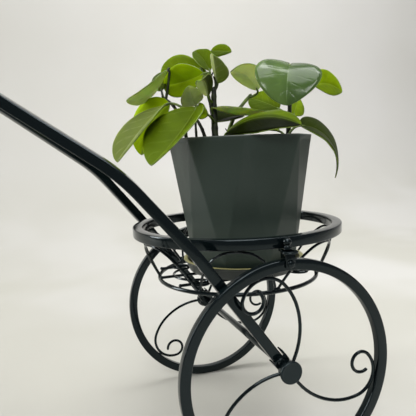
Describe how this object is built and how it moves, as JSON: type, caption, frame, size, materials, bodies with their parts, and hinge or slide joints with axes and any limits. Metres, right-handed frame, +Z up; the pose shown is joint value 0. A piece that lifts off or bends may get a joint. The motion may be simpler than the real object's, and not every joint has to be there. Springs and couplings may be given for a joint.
{
  "type": "plant stand",
  "caption": "Tricycle-shaped metal plant stand with a hanging wire basket, faceted pot on a saucer and a broad-leaved plant.",
  "frame": {"origin": "on the floor under the middle of the whole object's box", "axes": "+X towards the rear wheels, so the cycle heads towards -X; -Y is its left side; +Z up"},
  "size_m": [0.6134, 0.2554, 0.4214],
  "materials": {
    "black_paint": "gloss black paint",
    "black_plastic": "black moulded plastic",
    "pot_plastic": "matte dark grey-green",
    "saucer_plastic": "matte dark grey",
    "soil": "loose bark and peat, about as dense as soft wood",
    "plant": "waxy green leaves, weighed as green wood"
  },
  "bodies": {
    "frame": {"arm_bracket_left": "black_paint", "arm_bracket_right": "black_paint", "arm_left": "black_paint", "arm_right": "black_paint", "axle_bar": "black_paint", "basket_arch_1": "black_paint", "basket_arch_2": "black_paint", "basket_arch_3": "black_paint", "basket_arch_4": "black_paint", "basket_arch_5": "black_paint", "basket_arch_6": "black_paint", "basket_arch_7": "black_paint", "basket_floor": "black_paint", "basket_ring": "black_paint", "bracket_bolt_left": "black_paint", "bracket_bolt_right": "black_paint", "head_tube": "black_paint", "pot_ring": "black_paint", "rear_left_cap": "black_plastic", "rear_left_hub": "black_paint", "rear_left_rim": "black_paint", "rear_left_spoke_1": "black_paint", "rear_left_spoke_2": "black_paint", "rear_left_spoke_3": "black_paint", "rear_right_cap": "black_plastic", "rear_right_hub": "black_paint", "rear_right_rim": "black_paint", "rear_right_spoke_1": "black_paint", "rear_right_spoke_2": "black_paint", "rear_right_spoke_3": "black_paint", "rim_bolt_left": "black_paint", "rim_bolt_right": "black_paint", "ring_bolt_left": "black_paint", "ring_bolt_right": "black_paint", "ring_clip_left": "black_paint", "ring_clip_right": "black_paint"},
    "steering": {"fork": "black_paint", "front_axle": "black_paint", "front_axle_cap_left": "black_plastic", "front_axle_cap_right": "black_plastic", "handlebar": "black_paint", "grip_left": "black_plastic", "grip_right": "black_plastic"},
    "front_wheel": {"front_rim": "black_paint", "front_spoke_1": "black_paint", "front_spoke_2": "black_paint", "front_spoke_3": "black_paint", "front_hub": "black_paint"},
    "saucer": {"saucer": "saucer_plastic"},
    "pot": {"pot": "pot_plastic", "soil": "soil", "shoot_front": "plant", "shoot_left": "plant", "shoot_low": "plant", "shoot_main": "plant", "shoot_middle": "plant", "shoot_rear": "plant", "shoot_right": "plant", "shoot_slim": "plant", "shoot_tall": "plant"}
  },
  "joints": [
    {"name": "steering_turn", "type": "hinge", "parent": "frame", "child": "steering", "pos_m": [-0.20575, 0, 0.101], "axis": [0.2079, 0, 0.9781], "range_deg": [-35, 35]},
    {"name": "front_wheel_spin", "type": "hinge", "parent": "steering", "child": "front_wheel", "pos_m": [-0.20575, 0, 0.101], "axis": [0, 1, 0], "continuous": true},
    {"name": "saucer_lift", "type": "slide", "parent": "frame", "child": "saucer", "axis": [0, 0, 1], "range_m": [0, 0.3]},
    {"name": "pot_lift", "type": "slide", "parent": "saucer", "child": "pot", "axis": [0, 0, 1], "range_m": [0, 0.3]}
  ]
}
